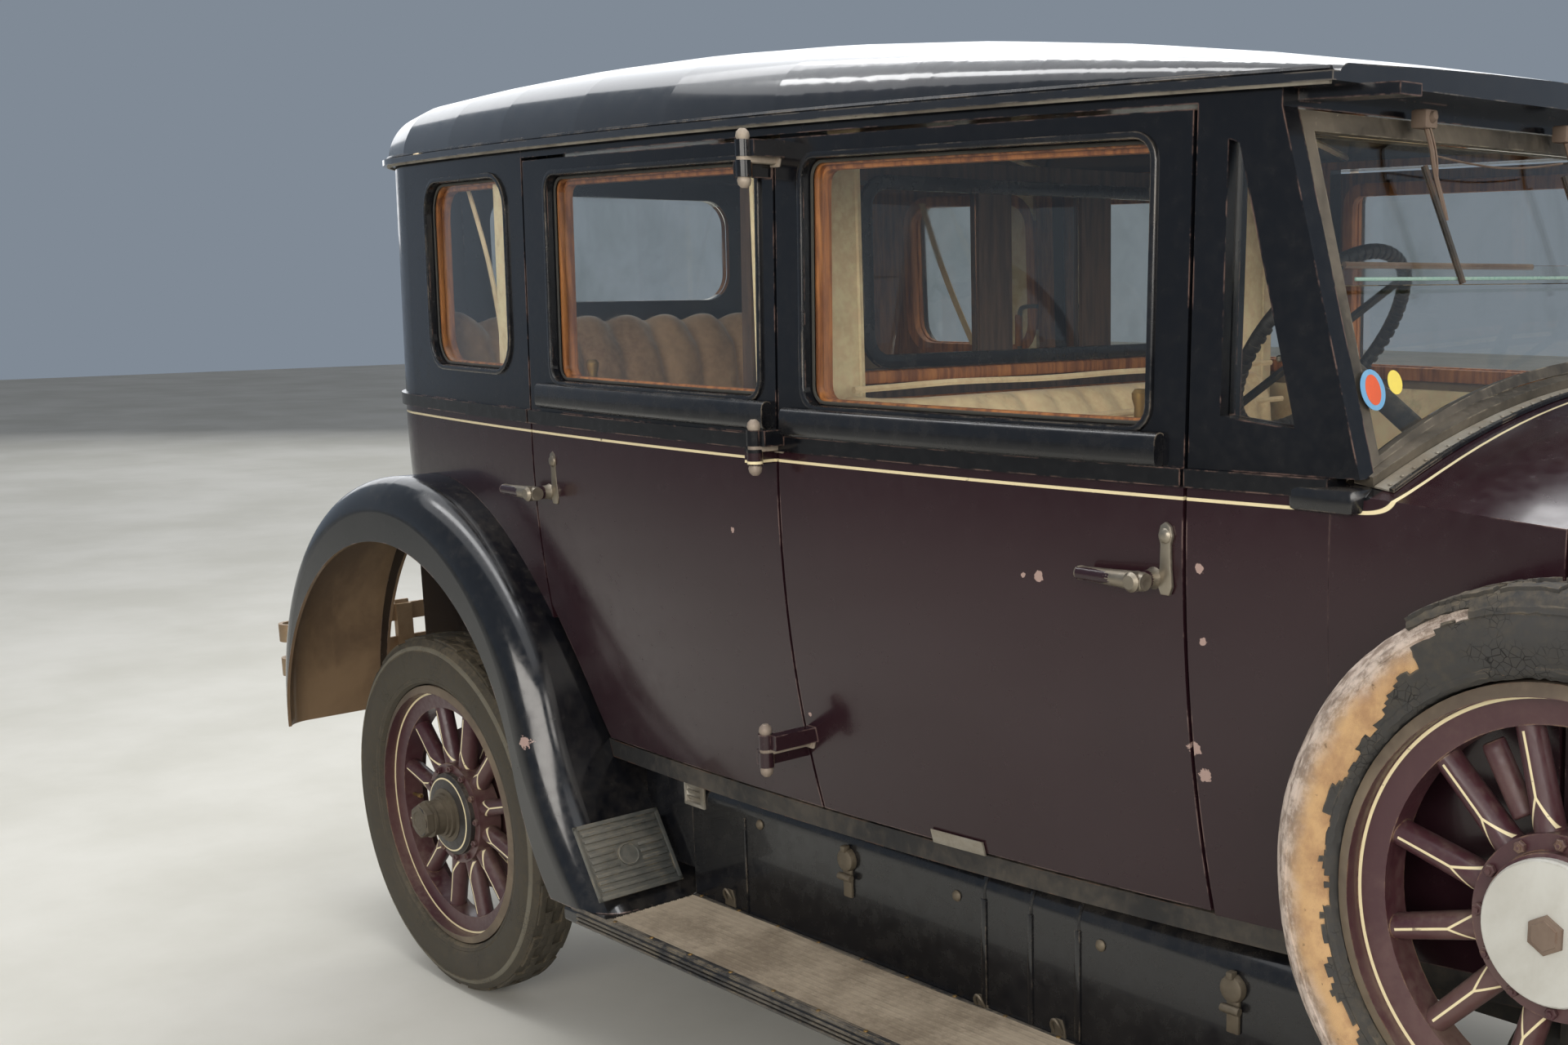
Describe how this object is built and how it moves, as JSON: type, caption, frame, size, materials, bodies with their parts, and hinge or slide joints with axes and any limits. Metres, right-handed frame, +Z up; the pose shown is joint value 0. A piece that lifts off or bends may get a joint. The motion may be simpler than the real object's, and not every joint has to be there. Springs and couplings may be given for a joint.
{
  "type": "closed touring limousine of the 1920s",
  "caption": "Long closed car with wooden spoked wheels, side-mounted spares, centre-hinged doors, a division behind the driver and a lifting hood.",
  "frame": {"origin": "on the floor, midway between the bumper faces, on the car's centre line", "axes": "+X to the front of the car, +Y to its left, +Z up"},
  "size_m": [5.403, 1.74, 2.082],
  "materials": {
    "chassis_black": "satin chassis black, dusty",
    "engine_grey": "grey cast iron",
    "nickel": "nickel plate, dulled",
    "bumper_nickel": "nickel plate, dulled",
    "black_enamel": "glossy black enamel, chipped",
    "board_mat": "ribbed rubber mat, dusty",
    "dark_red": "glossy dark wine red enamel",
    "screen_metal": "worn grey paint",
    "clear_glass": "clear glass, faintly green",
    "brown_wood": "varnished wood",
    "spoke_paint": "painted wood, wine red with cream lines",
    "tyre_rubber": "aged rubber",
    "seat_cloth": "pile cloth, taupe",
    "wheel_plastic": "black moulded rim"
  },
  "bodies": {
    "chassis": {"chassis_frame": "chassis_black", "leaf_springs": "chassis_black", "rear_axle": "chassis_black", "front_axle": "chassis_black", "steering_column": "chassis_black", "fuel_tank": "chassis_black", "engine_block": "engine_grey", "radiator": "nickel", "lamps": "nickel", "bumpers": "bumper_nickel", "splash_aprons": "black_enamel", "roof": "black_enamel", "side_frames": "black_enamel", "rear_fender_left": "black_enamel", "rear_fender_right": "black_enamel", "front_fender_left": "black_enamel", "front_fender_right": "black_enamel", "running_boards": "board_mat", "quarter_panels": "dark_red", "back_panel": "dark_red", "cowl": "dark_red", "hood_sides": "dark_red", "windscreen_frame": "screen_metal", "body_glass": "clear_glass", "division_glass": "clear_glass", "lamp_lenses": "clear_glass", "body_floor": "brown_wood", "division": "brown_wood", "dashboard": "brown_wood", "spare_wheels": "spoke_paint", "spare_tyre_left": "tyre_rubber", "spare_tyre_right": "tyre_rubber", "front_seat": "seat_cloth", "rear_seat": "seat_cloth"},
    "rear_left_wheel": {"wheel_rear_left": "spoke_paint", "tyre_rear_left": "tyre_rubber"},
    "rear_right_wheel": {"wheel_rear_right": "spoke_paint", "tyre_rear_right": "tyre_rubber"},
    "front_left_wheel": {"wheel_front_left": "spoke_paint", "tyre_front_left": "tyre_rubber"},
    "front_right_wheel": {"wheel_front_right": "spoke_paint", "tyre_front_right": "tyre_rubber"},
    "knuckle_left": {"knuckle_left": "chassis_black"},
    "knuckle_right": {"knuckle_right": "chassis_black"},
    "tie_rod": {"tie_rod": "chassis_black"},
    "hand_wheel": {"steering_wheel": "wheel_plastic"},
    "rear_left_door": {"rear_door_left": "dark_red", "rear_door_glass_left": "clear_glass"},
    "rear_right_door": {"rear_door_right": "dark_red", "rear_door_glass_right": "clear_glass"},
    "front_left_door": {"front_door_left": "dark_red", "front_door_glass_left": "clear_glass"},
    "front_right_door": {"front_door_right": "dark_red", "front_door_glass_right": "clear_glass"},
    "hood_lid_left": {"hood_top_left": "dark_red"},
    "hood_lid_right": {"hood_top_right": "dark_red"}
  },
  "joints": [
    {"name": "rear_left_wheel_spin", "type": "hinge", "parent": "chassis", "child": "rear_left_wheel", "pos_m": [-1.7415, 0.711, 0.415], "axis": [0, 1, 0], "continuous": true},
    {"name": "rear_right_wheel_spin", "type": "hinge", "parent": "chassis", "child": "rear_right_wheel", "pos_m": [-1.7415, -0.711, 0.415], "axis": [0, 1, 0], "continuous": true},
    {"name": "front_left_wheel_spin", "type": "hinge", "parent": "knuckle_left", "child": "front_left_wheel", "pos_m": [1.9415, 0.711, 0.415], "axis": [0, 1, 0], "continuous": true},
    {"name": "front_right_wheel_spin", "type": "hinge", "parent": "knuckle_right", "child": "front_right_wheel", "pos_m": [1.9415, -0.711, 0.415], "axis": [0, 1, 0], "continuous": true},
    {"name": "steer_left", "type": "hinge", "parent": "chassis", "child": "knuckle_left", "pos_m": [1.9415, 0.6, 0.415], "axis": [0, 0, 1], "range_deg": [-30, 30]},
    {"name": "steer_right", "type": "hinge", "parent": "chassis", "child": "knuckle_right", "pos_m": [1.9415, -0.6, 0.415], "axis": [0, 0, 1], "range_deg": [-30, 30]},
    {"name": "tie_rod_pivot", "type": "hinge", "parent": "knuckle_left", "child": "tie_rod", "pos_m": [1.7615, 0.6, 0.368], "axis": [0, 0, 1], "range_deg": [-30, 30]},
    {"name": "hand_wheel_turn", "type": "hinge", "parent": "chassis", "child": "hand_wheel", "pos_m": [-0.1125, 0.32, 1.49], "axis": [-0.8192, 0, 0.5736], "range_deg": [-510, 510]},
    {"name": "rear_left_door_hinge", "type": "hinge", "parent": "chassis", "child": "rear_left_door", "pos_m": [-0.4065, 0.842, 1.3], "axis": [0, 0, -1], "range_deg": [0, 70]},
    {"name": "rear_right_door_hinge", "type": "hinge", "parent": "chassis", "child": "rear_right_door", "pos_m": [-0.4065, -0.842, 1.3], "axis": [0, 0, 1], "range_deg": [0, 70]},
    {"name": "front_left_door_hinge", "type": "hinge", "parent": "chassis", "child": "front_left_door", "pos_m": [-0.4065, 0.842, 1.3], "axis": [0, 0, 1], "range_deg": [0, 70]},
    {"name": "front_right_door_hinge", "type": "hinge", "parent": "chassis", "child": "front_right_door", "pos_m": [-0.4065, -0.842, 1.3], "axis": [0, 0, -1], "range_deg": [0, 70]},
    {"name": "hood_left_hinge", "type": "hinge", "parent": "chassis", "child": "hood_lid_left", "pos_m": [0.9595, 0, 1.444], "axis": [0.9987, 0, -0.0504], "range_deg": [0, 60]},
    {"name": "hood_right_hinge", "type": "hinge", "parent": "chassis", "child": "hood_lid_right", "pos_m": [0.9595, 0, 1.444], "axis": [-0.9987, 0, 0.0504], "range_deg": [0, 60]}
  ],
  "couplings": [
    {"joint": "steer_right", "follows": "steer_left", "ratio": 1},
    {"joint": "tie_rod_pivot", "follows": "steer_left", "ratio": -1},
    {"joint": "hand_wheel_turn", "follows": "steer_left", "ratio": 17}
  ]
}
